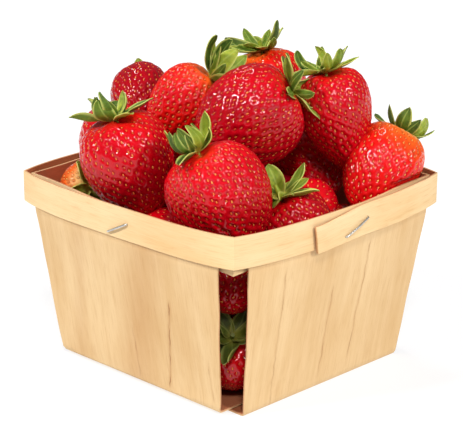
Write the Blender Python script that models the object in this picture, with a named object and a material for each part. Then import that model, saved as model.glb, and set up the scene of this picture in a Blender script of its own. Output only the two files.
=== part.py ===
"""A quart berry basket of folded wood veneer, heaped with strawberries.

Two veneer strips cross under the bottom and fold up into the four sides, which flare, bow
outwards a little and leave an open slot at each corner. A thin band is wrapped round the outside
of their tops, one end lapped over the other, and a second band lies inside them, a little lower.
On each side a wire staple goes through all the layers and is clinched inside. The berries are
one solid, out to the uneven outline of the heap.

Metres, +Z up. The origin is the centre of the underside, and the sides face along X and Y.
"""

import math

import bmesh
import bpy
import numpy as np

MM = 0.001

# Basket
VENEER = 1.1 * MM
GAP = 0.3 * MM
BASE_HALF = 55.7 * MM
FOLD_RADIUS = 1.8 * MM
PANEL_TOP = 79.5 * MM
PANEL_HALF_AT_BASE = 48.4 * MM
PANEL_HALF_AT_TOP = 56.8 * MM
FLARE_END = 67.0 * MM

# Bands round the top
RIM_HALF = 69.2 * MM
RIM_CORNER = 63.6 * MM
RIM_TOP = 83.0 * MM
BAND_HEIGHT = 13.4 * MM
INNER_BAND_HEIGHT = 12.6 * MM
INNER_DROP = 0.5 * MM
INNER_DROP_AT_FRONT = 4.5 * MM
INNER_CORNER = 61.3 * MM
INNER_BOW = 4.4 * MM
LAP_START = 10.0 * MM
LAP_END = -23.5 * MM
LAP_TOP_DROP = 3.2 * MM
LAP_FOOT_DROP = 1.2 * MM
LAP_STAND_OFF = 0.9 * MM
LAP_SLANT = -1.4 * MM

# Staples: each pair of legs as (along the side, height), and how far a clinched end reaches
WIRE = 0.9 * MM
STAPLE_LEGS = {
    "staple_front": ((-2.7, 71.2), (8.6, 76.8)),
    "staple_right": ((-5.4, 71.5), (8.1, 77.0)),
    "staple_back": ((-8.0, 76.0), (4.8, 72.0)),
    "staple_left": ((-4.0, 71.4), (8.8, 74.6)),
}
CLINCH = 4.0 * MM
HOLE_LENGTH = 20.0 * MM
BEND = 0.7 * MM

# Berries: centre x, y, z, width and length in millimetres; the stalk end's lean from upright and
# heading from +X in degrees; how much the shape narrows to its tip; whether leaves stand out
BERRIES = {
    "front_left": (-17, -43, 90.5, 40, 49, 18, 228, 0.25, True),
    "front": (31, -38, 87, 43, 47, 27, 222, 0.12, True),
    "upper_left": (-26, -3, 109, 31, 37, 46, 45, 0.18, True),
    "far_left": (-57, -1, 106, 28, 35, 70, 130, 0.15, True),
    "left": (-51, -23, 91, 31, 40, 75, 135, 0.15, False),
    "summit": (-16, 41, 109, 34, 42, 12, 205, 0.22, True),
    "middle": (10, 0, 109, 44, 49, 58, 48, 0.12, True),
    "upper_right": (29, 36, 105, 35, 48, 17, 205, 0.42, True),
    "right": (47, 44, 84.5, 35, 43, 50, 95, 0.22, True),
    "front_right": (46, -7, 69, 31, 37, 28, 236, 0.20, True),
    "left_corner": (-45, -44, 76, 24, 27, 75, 330, 0.15, False),
    "right_inner": (31, 13, 70, 28, 34, 60, 320, 0.20, False),
    "right_wall": (50, 15, 56, 25, 32, 70, 85, 0.20, False),
    "back": (-43, 43, 82, 34, 40, 50, 330, 0.22, True),
    "back_right": (8, 43, 79, 34, 38, 60, 170, 0.22, True),
    "back_left": (-45, 12, 73, 31, 36, 60, 260, 0.20, False),
    "front_inner": (6, -42, 58, 33, 38, 70, 190, 0.20, False),
    "left_inner": (-18, -20, 62, 32, 38, 50, 200, 0.20, False),
    "second_front": (36, -35, 52, 31, 38, 75, 130, 0.20, False),
    "second_right_side": (42, 3, 45, 30, 36, 70, 95, 0.20, False),
    "second_right": (38, 37, 50, 32, 40, 60, 240, 0.20, False),
    "second_back_side": (2, 41, 47, 31, 38, 75, 10, 0.20, False),
    "second_back": (-37, 37, 49, 33, 40, 60, 330, 0.20, False),
    "second_left_side": (-42, -4, 44, 30, 36, 70, 80, 0.20, False),
    "second_left": (-42, -38, 48, 29, 36, 50, 40, 0.20, False),
    "bottom_front_side": (-2, -39, 24, 30, 36, 75, 0, 0.20, False),
    "bottom_front": (36, -36, 18, 32, 38, 42, 315, 0.20, False),
    "bottom_right_side": (38, 2, 18, 28, 34, 80, 90, 0.20, False),
    "bottom_right": (33, 34, 20, 32, 38, 60, 50, 0.20, False),
    "bottom_back_side": (0, 37, 18, 29, 36, 85, 0, 0.20, False),
    "bottom_back": (-33, 33, 20, 32, 38, 50, 140, 0.20, False),
    "bottom_left_side": (-37, 0, 18, 29, 34, 80, 270, 0.20, False),
    "bottom_left": (-33, -34, 20, 31, 38, 65, 220, 0.20, False),
}
SHOULDER_DIP = 0.07
LEAVES = 6
LEAF_REACH = 0.40
LEAF_RISE = 4.5 * MM
LEAF_SOLID = 1.6 * MM
CORE_HALF = 45.0 * MM
CORE_HALF_HEIGHT = 50.0 * MM
CORE_CENTRE = 55.0 * MM
CORE_SQUARENESS = 4
FLOOR_CLEAR = 3.0 * MM
WALL_CLEAR = 0.6 * MM
STAPLE_ROOM = 1.4 * MM
RIM_ROOM = 8.0 * MM


def clear_scene():
    """Removes the start-up objects."""
    for obj in list(bpy.data.objects):
        bpy.data.objects.remove(obj, do_unlink=True)


def material(name, color, roughness, metallic=0.0):
    """A plain Principled material."""
    mat = bpy.data.materials.new(name)
    mat.use_nodes = True
    shader = mat.node_tree.nodes["Principled BSDF"]
    shader.inputs["Base Color"].default_value = (*color, 1.0)
    shader.inputs["Roughness"].default_value = roughness
    shader.inputs["Metallic"].default_value = metallic
    return mat


def add_mesh_object(name, mesh, mat):
    """Links a mesh to the scene as a named object with one material."""
    mesh.materials.append(mat)
    obj = bpy.data.objects.new(name, mesh)
    bpy.context.scene.collection.objects.link(obj)
    return obj


def sheet_mesh(name, points):
    """A sheet of quads over a grid of points, rows by columns by 3."""
    rows, columns = points.shape[:2]
    mesh = bpy.data.meshes.new(name)
    faces = [
        (r * columns + c, r * columns + c + 1, (r + 1) * columns + c + 1, (r + 1) * columns + c)
        for r in range(rows - 1)
        for c in range(columns - 1)
    ]
    mesh.from_pydata(points.reshape(-1, 3).tolist(), [], faces)
    return mesh


def thicken(obj):
    """Gives a sheet the veneer's thickness, on the side away from its normals."""
    solid = obj.modifiers.new("veneer", "SOLIDIFY")
    solid.thickness = VENEER
    solid.offset = -1
    solid.use_even_offset = True


def rim_reach(across):
    """How far the outer band's outer face stands from the middle, at a place along one side."""
    return RIM_HALF - (RIM_HALF - RIM_CORNER) * (across / RIM_CORNER) ** 4


def inner_reach(across):
    """The same for the inner band: straight at its folded corners, bowed out at mid-side."""
    return INNER_CORNER + INNER_BOW * np.cos(math.pi * across / (2 * INNER_CORNER)) ** 2


def inner_drop(x, y):
    """How far the inner band's top edge is below the rim: it sags towards the +X, -Y corner."""
    forward = (1 + (x - y) / (2 * INNER_CORNER)) / 2
    return INNER_DROP + (INNER_DROP_AT_FRONT - INNER_DROP) * forward**3


def side_reach(across, height):
    """The same for a side panel: flat at its fold, and bowed as the rim is under the bands."""
    bowed = rim_reach(across) - VENEER - GAP
    return BASE_HALF + (bowed - BASE_HALF) * np.minimum(height / FLARE_END, 1)


def add_strip(name, bottom, turn, mat):
    """One strip: down a side, round the fold, under the berries and up the opposite side."""
    heights = np.linspace(PANEL_TOP, bottom + FOLD_RADIUS, 10)
    widths = PANEL_HALF_AT_BASE + (PANEL_HALF_AT_TOP - PANEL_HALF_AT_BASE) * heights / PANEL_TOP
    spread = np.linspace(1, -1, 9)
    rows = []
    for height, half in zip(heights, widths):
        reach = side_reach(spread * PANEL_HALF_AT_TOP, height)
        rows.append(np.column_stack([spread * half, -reach, np.full(9, height)]))
    fold_middle = BASE_HALF - FOLD_RADIUS
    for angle in np.radians([30, 60, 90]):
        reach = fold_middle + FOLD_RADIUS * math.cos(angle)
        height = bottom + FOLD_RADIUS * (1 - math.sin(angle))
        place = np.column_stack([spread * PANEL_HALF_AT_BASE, np.full(9, -reach), np.full(9, height)])
        rows.append(place)
    half_strip = np.array(rows)
    other_half = half_strip[::-1] * (1, -1, 1)
    obj = add_mesh_object(name, sheet_mesh(name, np.concatenate([half_strip, other_half])), mat)
    obj.rotation_euler[2] = turn
    thicken(obj)
    return obj


def turned(points, quarter_turns):
    """Points turned about Z by a number of quarter turns, from the -Y side to another side."""
    angle = math.radians(90 * quarter_turns)
    cos, sin = math.cos(angle), math.sin(angle)
    return points @ np.array([[cos, sin, 0], [-sin, cos, 0], [0, 0, 1]])


def ease(value):
    """Goes smoothly from 0 to 1 as value does."""
    value = np.clip(value, 0, 1)
    return value * value * (3 - 2 * value)


def add_outer_band(mat):
    """The outer band starts on the +X side, goes once round and laps over its own start.

    Towards its end it stands off the layer below, narrows, and is cut off on a slant.
    """
    side = RIM_CORNER * np.sin(np.linspace(math.pi / 2, -math.pi / 2, 25))
    first = np.append(LAP_START, side[side < LAP_START])
    last = np.append(side[side > LAP_END], LAP_END)
    runs = [(1, first[:-1]), (0, side[:-1]), (-1, side[:-1]), (2, side[:-1]), (1, last)]
    path = np.concatenate([turned(np.column_stack([r, -rim_reach(r), r * 0]), q) for q, r in runs])
    place = np.concatenate([np.ones(len(path) - len(last)), last])
    lapped = ease((12 * MM - place) / (12 * MM - LAP_END))
    lift = (VENEER + GAP) * ease((45 * MM - place) / (33 * MM))
    lift += LAP_STAND_OFF * ease((-8 * MM - place) / (15.5 * MM))
    rows = []
    for part in (1.0, 0.5, 0.0):
        drop = (LAP_TOP_DROP * part + LAP_FOOT_DROP * (1 - part)) * lapped
        slant = LAP_SLANT * (part - 0.5) * ease(-place / (20 * MM))
        height = RIM_TOP - BAND_HEIGHT * (1 - part) - drop
        rows.append(np.column_stack([path[:, 0] + lift, path[:, 1] + slant, height]))
    obj = add_mesh_object("rim_outer", sheet_mesh("rim_outer", np.array(rows)), mat)
    thicken(obj)
    return obj


def add_inner_band(mat):
    """The inner band, folded at each corner, its ends meeting at the middle of the +Y side."""
    across = np.linspace(-INNER_CORNER, INNER_CORNER, 15)
    side = np.column_stack([across, -inner_reach(across), np.zeros(15)])
    loop = np.concatenate([turned(side[:-1], quarter) for quarter in (-1, 0, 1, 2)])
    seam = len(loop) - 7
    loop = np.roll(loop, -seam, axis=0)
    loop = np.concatenate([loop, loop[:1]])
    loop[0, 0] -= GAP
    loop[-1, 0] += GAP
    loop[:, 2] = RIM_TOP - inner_drop(loop[:, 0], loop[:, 1])
    rows = np.array([loop - (0, 0, INNER_BAND_HEIGHT), loop])
    obj = add_mesh_object("rim_inner", sheet_mesh("rim_inner", rows), mat)
    thicken(obj)
    return obj


def add_staple(name, quarter_turns, mat):
    """A wire bent round: a clinched end inside, a leg, the crown outside, a leg, the other end."""
    (along_a, height_a), (along_b, height_b) = STAPLE_LEGS[name]
    ends = np.array([(along_a, 0, height_a), (along_b, 0, height_b)]) * MM
    middle = abs(ends[:, 0]).mean()
    layers = VENEER + GAP if name == "staple_right" else 0.0
    outside = rim_reach(middle) + layers + GAP + WIRE / 2
    inside = inner_reach(middle) - VENEER - GAP - WIRE / 2
    towards = (ends[1] - ends[0]) / np.linalg.norm(ends[1] - ends[0])
    out = np.array((0, -1, 0))
    route = [
        ends[0] + towards * CLINCH + out * inside,
        ends[0] + towards * BEND + out * inside,
        ends[0] + out * (inside + BEND),
        ends[0] + out * (outside - BEND),
        ends[0] + towards * BEND + out * outside,
    ]
    crown = np.linspace(ends[0], ends[1], 5)[1:-1] + out * (outside + GAP)
    mirrored = [ends[0] + ends[1] - (p - out * (p @ out)) + out * (p @ out) for p in route[::-1]]
    points = turned(np.array([*route, *crown, *mirrored]), quarter_turns)
    curve = bpy.data.curves.new(name, "CURVE")
    curve.dimensions = "3D"
    curve.bevel_depth = WIRE / 2
    curve.bevel_resolution = 1
    curve.use_fill_caps = True
    spline = curve.splines.new("POLY")
    spline.points.add(len(points) - 1)
    for target, point in zip(spline.points, points):
        target.co = (*point, 1.0)
    curve.materials.append(mat)
    obj = bpy.data.objects.new(name, curve)
    bpy.context.scene.collection.objects.link(obj)


def cut_leg_holes(name, quarter_turns, layers):
    """Bores the clearance holes of one staple's legs through each layer of wood on that side."""
    for along, height in STAPLE_LEGS[name]:
        bpy.ops.mesh.primitive_cylinder_add(vertices=8, radius=WIRE / 2 + GAP, depth=HOLE_LENGTH)
        cutter = bpy.context.object
        cutter.name = "leg_hole"
        cutter.rotation_euler = (math.pi / 2, 0, math.radians(90 * quarter_turns))
        place = np.array([(along * MM, -INNER_CORNER - INNER_BOW, height * MM)])
        cutter.location = turned(place, quarter_turns)[0]
        cutter.hide_render = True
        cutter.display_type = "WIRE"
        for layer in layers:
            bore = layer.modifiers.new("leg_hole", "BOOLEAN")
            bore.operation = "DIFFERENCE"
            bore.object = cutter


def axes_of(lean, heading):
    """Three unit axes of a berry: two across it, and one towards its stalk end."""
    lean, heading = math.radians(lean), math.radians(heading)
    flat = np.array((math.cos(heading), math.sin(heading), 0))
    up = math.sin(lean) * flat + np.array((0, 0, math.cos(lean)))
    across = np.array((-math.sin(heading), math.cos(heading), 0))
    return np.array((np.cross(across, up), across, up))


def pressed(points):
    """Points held clear of the floor and the walls, as soft berries flatten against them."""
    x, y, z = points.T
    pressed_sides = []
    for value, other in ((x, y), (y, x)):
        other = np.clip(other, -INNER_CORNER, INNER_CORNER)
        panel = side_reach(np.clip(other, -PANEL_HALF_AT_TOP, PANEL_HALF_AT_TOP), z) - VENEER
        band = inner_reach(other) - VENEER
        middle_room = STAPLE_ROOM * np.cos(math.pi * other / (2 * INNER_CORNER)) ** 8
        low = RIM_TOP - INNER_DROP_AT_FRONT - INNER_BAND_HEIGHT - MM
        wall = np.where(z > low, np.minimum(panel, band - middle_room), panel)
        wall = np.where(z > RIM_TOP + RIM_ROOM, 1.0, wall) - WALL_CLEAR
        pressed_sides.append(np.clip(value, -wall, wall))
    return np.column_stack([*pressed_sides, np.maximum(z, FLOOR_CLEAR)])


def ball_object(name, points, mat):
    """A closed body over a grid whose first and last rows are single points."""
    rows, columns = points.shape[:2]
    bm = bmesh.new()
    first = bm.verts.new(points[0, 0])
    last = bm.verts.new(points[-1, 0])
    rings = [[bm.verts.new(point) for point in row] for row in points[1:-1]]
    for c in range(columns):
        following = (c + 1) % columns
        bm.faces.new((first, rings[0][c], rings[0][following]))
        bm.faces.new((last, rings[-1][following], rings[-1][c]))
        for upper, lower in zip(rings, rings[1:]):
            bm.faces.new((upper[c], lower[c], lower[following], upper[following]))
    bmesh.ops.recalc_face_normals(bm, faces=bm.faces)
    mesh = bpy.data.meshes.new(name)
    bm.to_mesh(mesh)
    bm.free()
    return add_mesh_object(name, mesh, mat)


def berry_points(x, y, z, width, length, lean, heading, taper):
    """Rings from the stalk end to the tip: widest above the middle, narrowing to the tip."""
    down = np.linspace(0, math.pi, 8)[:, None]
    round_it = np.linspace(0, 2 * math.pi, 10, endpoint=False)[None, :]
    girth = np.sin(down) ** 0.92 * (1 + taper * np.cos(down))
    girth = girth / girth.max() * width / 2 * MM
    height = length * MM * (np.cos(down) / 2 - SHOULDER_DIP * np.exp(-((down / 0.4) ** 2)))
    local = np.stack(np.broadcast_arrays(girth * np.cos(round_it), girth * np.sin(round_it), height), -1)
    placed = local @ axes_of(lean, heading) + np.array((x, y, z)) * MM
    return pressed(placed.reshape(-1, 3)).reshape(placed.shape)


def leaf_points(x, y, z, width, length, lean, heading):
    """A star of pointed leaves: inner point, notches and tips alternating, and an outer point."""
    round_it = np.linspace(0, 2 * math.pi, 2 * LEAVES, endpoint=False)
    is_tip = np.arange(2 * LEAVES) % 2
    reach = np.where(is_tip, LEAF_REACH * width, 0.16 * width) * MM
    base = (0.5 - SHOULDER_DIP) * length * MM
    rise = base + LEAF_RISE * is_tip
    ring = np.column_stack([reach * np.cos(round_it), reach * np.sin(round_it), rise])
    under = ring - (0, 0, LEAF_SOLID)
    middle_top = np.tile((0, 0, base + MM), (2 * LEAVES, 1))
    middle_under = np.tile((0, 0, base - 3 * MM), (2 * LEAVES, 1))
    local = np.array([middle_top, ring, under, middle_under])
    placed = local @ axes_of(lean, heading) + np.array((x, y, z)) * MM
    return pressed(placed.reshape(-1, 3)).reshape(placed.shape)


def core_points():
    """The inside of the heap, a boxy round body that every berry is sunk into."""
    down = np.linspace(0, math.pi, 9)[:, None]
    round_it = np.linspace(0, 2 * math.pi, 16, endpoint=False)[None, :]
    across, along, up = np.sin(down) * np.cos(round_it), np.sin(down) * np.sin(round_it), np.cos(down)
    way = np.stack(np.broadcast_arrays(across, along, up), -1)
    size = (np.abs(way) ** CORE_SQUARENESS).sum(-1, keepdims=True) ** (-1 / CORE_SQUARENESS)
    return way * size * (CORE_HALF, CORE_HALF, CORE_HALF_HEIGHT) + np.array((0, 0, CORE_CENTRE))


def outer_skin(obj):
    """Replaces an object's mesh by its evaluated one, without any pocket sealed inside it."""
    graph = bpy.context.evaluated_depsgraph_get()
    mesh = bpy.data.meshes.new_from_object(obj.evaluated_get(graph))
    bm = bmesh.new()
    bm.from_mesh(mesh)
    unseen = set(bm.verts)
    shells = []
    while unseen:
        shell, edge_of_shell = set(), [unseen.pop()]
        while edge_of_shell:
            vert = edge_of_shell.pop()
            shell.add(vert)
            near = {edge.other_vert(vert) for edge in vert.link_edges} & unseen
            unseen -= near
            edge_of_shell.extend(near)
        shells.append(shell)
    widest = max(shells, key=len)
    bmesh.ops.delete(bm, geom=[v for shell in shells if shell is not widest for v in shell])
    bmesh.ops.triangulate(bm, faces=bm.faces)
    bm.to_mesh(mesh)
    bm.free()
    obj.modifiers.clear()
    obj.data = mesh


def add_heap(mat):
    """The berries and their leaves joined to the core as one solid."""
    shapes = bpy.data.collections.new("berry_shapes")
    for name, (*place, taper, leafy) in BERRIES.items():
        pieces = [ball_object(name, berry_points(*place, taper), mat)]
        if leafy:
            pieces.append(ball_object(name + "_leaves", leaf_points(*place), mat))
        for piece in pieces:
            bpy.context.scene.collection.objects.unlink(piece)
            shapes.objects.link(piece)
    heap = ball_object("strawberry_heap", core_points(), mat)
    union = heap.modifiers.new("berries", "BOOLEAN")
    union.operation = "UNION"
    union.operand_type = "COLLECTION"
    union.collection = shapes
    union.solver = "EXACT"
    outer_skin(heap)
    for piece in list(shapes.objects):
        bpy.data.objects.remove(piece, do_unlink=True)
    bpy.data.collections.remove(shapes)
    heap.data.shade_smooth()
    heap.data.set_sharp_from_angle(angle=math.radians(40))
    return heap


def build():
    clear_scene()
    panel_wood = material("panel_wood", (0.87, 0.65, 0.36), 0.6)
    band_wood = material("band_wood", (0.92, 0.76, 0.48), 0.6)
    wire = material("staple_wire", (0.62, 0.60, 0.57), 0.3, 1.0)
    flesh = material("strawberry", (0.55, 0.01, 0.02), 0.25)

    strip_over = add_strip("strip_over", VENEER + GAP, 0.0, panel_wood)
    strip_under = add_strip("strip_under", 0.0, math.pi / 2, panel_wood)
    rim_outer = add_outer_band(band_wood)
    rim_inner = add_inner_band(band_wood)
    for quarter_turns, name in enumerate(STAPLE_LEGS):
        add_staple(name, quarter_turns, wire)
        strip = strip_under if quarter_turns % 2 else strip_over
        cut_leg_holes(name, quarter_turns, (rim_outer, strip, rim_inner))
    add_heap(flesh)


build()
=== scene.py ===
import math
from collections import namedtuple

import bpy
import numpy as np
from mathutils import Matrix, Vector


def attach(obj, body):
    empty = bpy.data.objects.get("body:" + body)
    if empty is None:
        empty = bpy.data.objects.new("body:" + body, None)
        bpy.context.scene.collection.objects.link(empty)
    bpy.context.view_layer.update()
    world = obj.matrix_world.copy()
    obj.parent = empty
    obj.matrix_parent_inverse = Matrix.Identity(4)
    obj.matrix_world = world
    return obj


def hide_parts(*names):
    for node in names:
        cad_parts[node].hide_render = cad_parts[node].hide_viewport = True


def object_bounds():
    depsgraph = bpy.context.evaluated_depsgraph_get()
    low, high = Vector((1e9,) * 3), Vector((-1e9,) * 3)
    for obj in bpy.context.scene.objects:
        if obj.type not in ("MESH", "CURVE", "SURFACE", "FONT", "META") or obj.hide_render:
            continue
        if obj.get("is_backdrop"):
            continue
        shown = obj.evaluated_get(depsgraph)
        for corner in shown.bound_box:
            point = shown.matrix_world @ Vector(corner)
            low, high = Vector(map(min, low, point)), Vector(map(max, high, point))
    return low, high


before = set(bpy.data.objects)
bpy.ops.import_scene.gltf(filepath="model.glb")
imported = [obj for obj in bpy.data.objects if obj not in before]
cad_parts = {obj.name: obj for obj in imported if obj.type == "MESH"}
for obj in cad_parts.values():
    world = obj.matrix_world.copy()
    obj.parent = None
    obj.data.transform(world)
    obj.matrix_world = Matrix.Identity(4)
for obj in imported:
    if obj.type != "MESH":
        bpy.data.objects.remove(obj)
cad_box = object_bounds()


# ---- The two crossed strips -------------------------------------------------------------------
# Sliced poplar veneer, a millimetre thick, with the grain along each strip. Each is folded up
# into two opposite sides while damp; the strip along Y lies over the other one at the bottom.

MM = 0.001
VENEER = 1.1 * MM
WORN = 0.18 * MM
LAYER_GAP = 0.3 * MM
FOOT_HALF = 55.7 * MM
FOLD_RADIUS = 1.8 * MM
PANEL_TOP = 79.5 * MM
PANEL_HALF_AT_FOOT = 48.4 * MM
PANEL_HALF_AT_TOP = 56.8 * MM
FLARE_END = 67.0 * MM
RIM_HALF = 69.2 * MM
RIM_CORNER = 63.6 * MM


def rim_reach(across):
    """Outer face of the outer band along one side: h - (h - c) (x/c)^4, creased where x = c."""
    return RIM_HALF - (RIM_HALF - RIM_CORNER) * (across / RIM_CORNER) ** 4


def side_reach(across, height):
    """Outer face of a side panel: straight at its fold, blending in height to the bowed rim."""
    bowed = rim_reach(across) - VENEER - LAYER_GAP
    return FOOT_HALF + (bowed - FOOT_HALF) * np.minimum(height / FLARE_END, 1)


def ease(value):
    """Smooth step: 3v^2 - 2v^3, with v held between 0 and 1."""
    value = np.clip(value, 0, 1)
    return value * value * (3 - 2 * value)


def uneven(across, along, seed, pitch):
    """Soft unevenness, mostly between -1 and 1: seven sine waves in random directions, over four."""
    dice = np.random.default_rng(seed)
    total = 0
    for _ in range(7):
        turn, phase = dice.uniform(0, 2 * math.pi, 2)
        stretch = dice.uniform(0.6, 1.7)
        way = across * math.cos(turn) + along * math.sin(turn)
        total = total + np.sin(2 * math.pi * way / (pitch * stretch) + phase)
    return total / 4


def face_normals(grid):
    """Unit normals of a grid of points: the slope along the rows crossed with that down them."""
    normal = np.cross(np.gradient(grid, axis=1), np.gradient(grid, axis=0))
    return normal / np.linalg.norm(normal, axis=-1, keepdims=True)


def distance_along(path):
    """Length of a polyline from its start to each of its points."""
    return np.concatenate([[0], np.cumsum(np.linalg.norm(np.diff(path, axis=0), axis=1))])


def grid_faces(rows, columns, wrap=False):
    """Corner numbers of the quads of a grid, row by row; wrap joins the last column to the first."""
    row, column = np.mgrid[0 : rows - 1, 0 : columns - (0 if wrap else 1)]
    after = (column + 1) % columns
    corners = [row * columns + column, (row + 1) * columns + column]
    corners += [(row + 1) * columns + after, row * columns + after]
    return np.stack(corners, -1).reshape(-1, 4)


def slab(outer, thickness):
    """A closed sheet: the outer face, a copy of it moved in along its normals, and four edges.

    Returns points, quads, and for each point the number of the grid point that it stands over.
    """
    rows, columns = outer.shape[:2]
    count = rows * columns
    inner = outer - face_normals(outer) * np.reshape(thickness, (-1, 1, 1))
    faces = grid_faces(rows, columns)
    edge = np.arange(count).reshape(rows, columns)
    loop = np.concatenate([edge[0, :-1], edge[:-1, -1], edge[-1, :0:-1], edge[:0:-1, 0]])
    after = np.roll(loop, -1)
    rim = np.stack([loop, after, after + count, loop + count], -1)
    points = np.concatenate([outer.reshape(-1, 3), inner.reshape(-1, 3)])
    return points, np.concatenate([faces, faces[:, ::-1] + count, rim]), np.tile(np.arange(count), 2)


def add_piece(name, points, faces, finish, nodes, marks=None, smooth=40, triangles=None):
    mesh = bpy.data.meshes.new(name)
    corners = [faces] if triangles is None else [faces, triangles]
    mesh.vertices.add(len(points))
    mesh.vertices.foreach_set("co", np.asarray(points, np.float32).ravel())
    sizes = np.concatenate([np.full(len(group), group.shape[1]) for group in corners])
    mesh.loops.add(int(sizes.sum()))
    mesh.loops.foreach_set("vertex_index", np.concatenate([g.ravel() for g in corners]).astype(np.int32))
    mesh.polygons.add(len(sizes))
    mesh.polygons.foreach_set("loop_start", (np.cumsum(sizes) - sizes).astype(np.int32))
    for mark, values in (marks or {}).items():
        values = np.asarray(values, np.float32)
        kind = "FLOAT" if values.ndim == 1 else "FLOAT_VECTOR"
        layer = mesh.attributes.new(mark, kind, "POINT")
        layer.data.foreach_set("value" if values.ndim == 1 else "vector", values.ravel())
    mesh.update(calc_edges=True)
    mesh.shade_smooth()
    if smooth < 180:
        mesh.set_sharp_from_angle(angle=math.radians(smooth))
    mesh.materials.append(finish)
    piece = bpy.data.objects.new(name, mesh)
    bpy.context.scene.collection.objects.link(piece)
    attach(piece, "root")
    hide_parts(*nodes)
    return piece


def add_veneer(node, grid, grain, finish, slot, smooth=40):
    """A sheet of veneer from a grid over its outer face, with its sharp edges rounded a little.

    Its inner mark is 0 over the outer face and 1 over the inner one; the finish paints shade on the inner
    faces by it.
    """
    points, faces, over = slab(grid, VENEER)
    inner = (np.arange(len(over)) >= len(over) // 2).astype(float)
    marks = {"grain": grain.reshape(-1, 3)[over], "inner": inner}
    piece = add_piece(node + "_wood", points, faces, finish, [node], marks, smooth)
    bevel = piece.modifiers.new("worn edges", "BEVEL")
    bevel.width = WORN
    bevel.segments = 2
    bevel.limit_method = "ANGLE"
    bevel.angle_limit = math.radians(50)
    bevel.harden_normals = False


class Amount:
    """A shader socket that can be used in sums: each operator adds one Math node."""

    def __init__(self, finish, socket):
        self.finish = finish
        self.socket = socket

    def __add__(self, other):
        return self.finish.math("ADD", self, other)

    def __sub__(self, other):
        return self.finish.math("SUBTRACT", self, other)

    def __rsub__(self, other):
        return self.finish.math("SUBTRACT", other, self)

    def __mul__(self, other):
        return self.finish.math("MULTIPLY", self, other)

    __radd__ = __add__


class Finish:
    """A material in the making: node() adds any node, and show() feeds the surface shader."""

    def __init__(self, name, **constants):
        self.material = bpy.data.materials.new(name)
        self.material.use_nodes = True
        self.tree = self.material.node_tree
        self.shader = self.tree.nodes["Principled BSDF"]
        for socket, value in constants.items():
            self.shader.inputs[socket.replace("_", " ")].default_value = value

    def node(self, kind, settings=None, values=None, out=0):
        """Adds a node: its settings first, a ramp's stops among them, then values or links."""
        made = self.tree.nodes.new("ShaderNode" + kind)
        for key, setting in (settings or {}).items():
            if key == "stops":
                ramp = made.color_ramp.elements
                while len(ramp) < len(setting):
                    ramp.new(0.5)
                for stop, (place, color) in zip(ramp, setting):
                    stop.position = place
                    stop.color = (*color, 1.0)
            else:
                setattr(made, key, setting)
        for key, value in (values or {}).items():
            self.join(value, made.inputs[key])
        return Amount(self, made.outputs[out])

    def join(self, value, socket):
        """Links an Amount to a socket, or sets the socket to a plain number, vector or colour."""
        if isinstance(value, Amount):
            self.tree.links.new(value.socket, socket)
        elif isinstance(value, tuple) and len(value) == 3 and len(socket.default_value) == 4:
            socket.default_value = (*value, 1.0)
        else:
            socket.default_value = value

    def math(self, operation, a, b=0.0):
        return self.node("Math", {"operation": operation}, {0: a, 1: b})

    def parts(self, vector):
        """The three components of a vector."""
        sockets = self.node("SeparateXYZ", None, {0: vector}).socket.node.outputs
        return [Amount(self, socket) for socket in sockets]

    def scaled(self, vector, by):
        return self.node("VectorMath", {"operation": "MULTIPLY"}, {0: vector, 1: by})

    def noise(self, vector, scale, detail=2.0, roughness=0.5):
        values = {"Vector": vector, "Scale": scale, "Detail": detail, "Roughness": roughness}
        return self.node("TexNoise", None, values)

    def mark(self, name, vector=False):
        return self.node("Attribute", {"attribute_name": name}, None, 1 if vector else 2)

    def step(self, value, low, high):
        """0 below low and 1 above high, smoothly."""
        settings = {"interpolation_type": "SMOOTHSTEP"}
        return self.node("MapRange", settings, {"Value": value, "From Min": low, "From Max": high})

    def mix(self, factor, a, b, blend="MIX"):
        return self.node("Mix", {"data_type": "RGBA", "blend_type": blend}, {0: factor, 6: a, 7: b}, 2)

    def show(self, color, roughness, height=None, depth=0.0001):
        """Links colour, roughness and a bump from a height between 0 and 1 to the shader."""
        self.join(color, self.shader.inputs["Base Color"])
        self.join(roughness, self.shader.inputs["Roughness"])
        if height is not None:
            bump = self.node("Bump", None, {"Height": height, "Distance": depth, "Strength": 1.0})
            self.join(bump, self.shader.inputs["Normal"])
        return self.material


def paint(red, green, blue):
    """A colour from its 0 to 255 display values: each one linearised by the sRGB curve."""
    shares = [value / 255 for value in (red, green, blue)]
    return tuple(s / 12.92 if s < 0.04045 else ((s + 0.055) / 1.055) ** 2.4 for s in shares)


SPLIT_FADE = 6  # millimetres, as in the rows of splits


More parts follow.
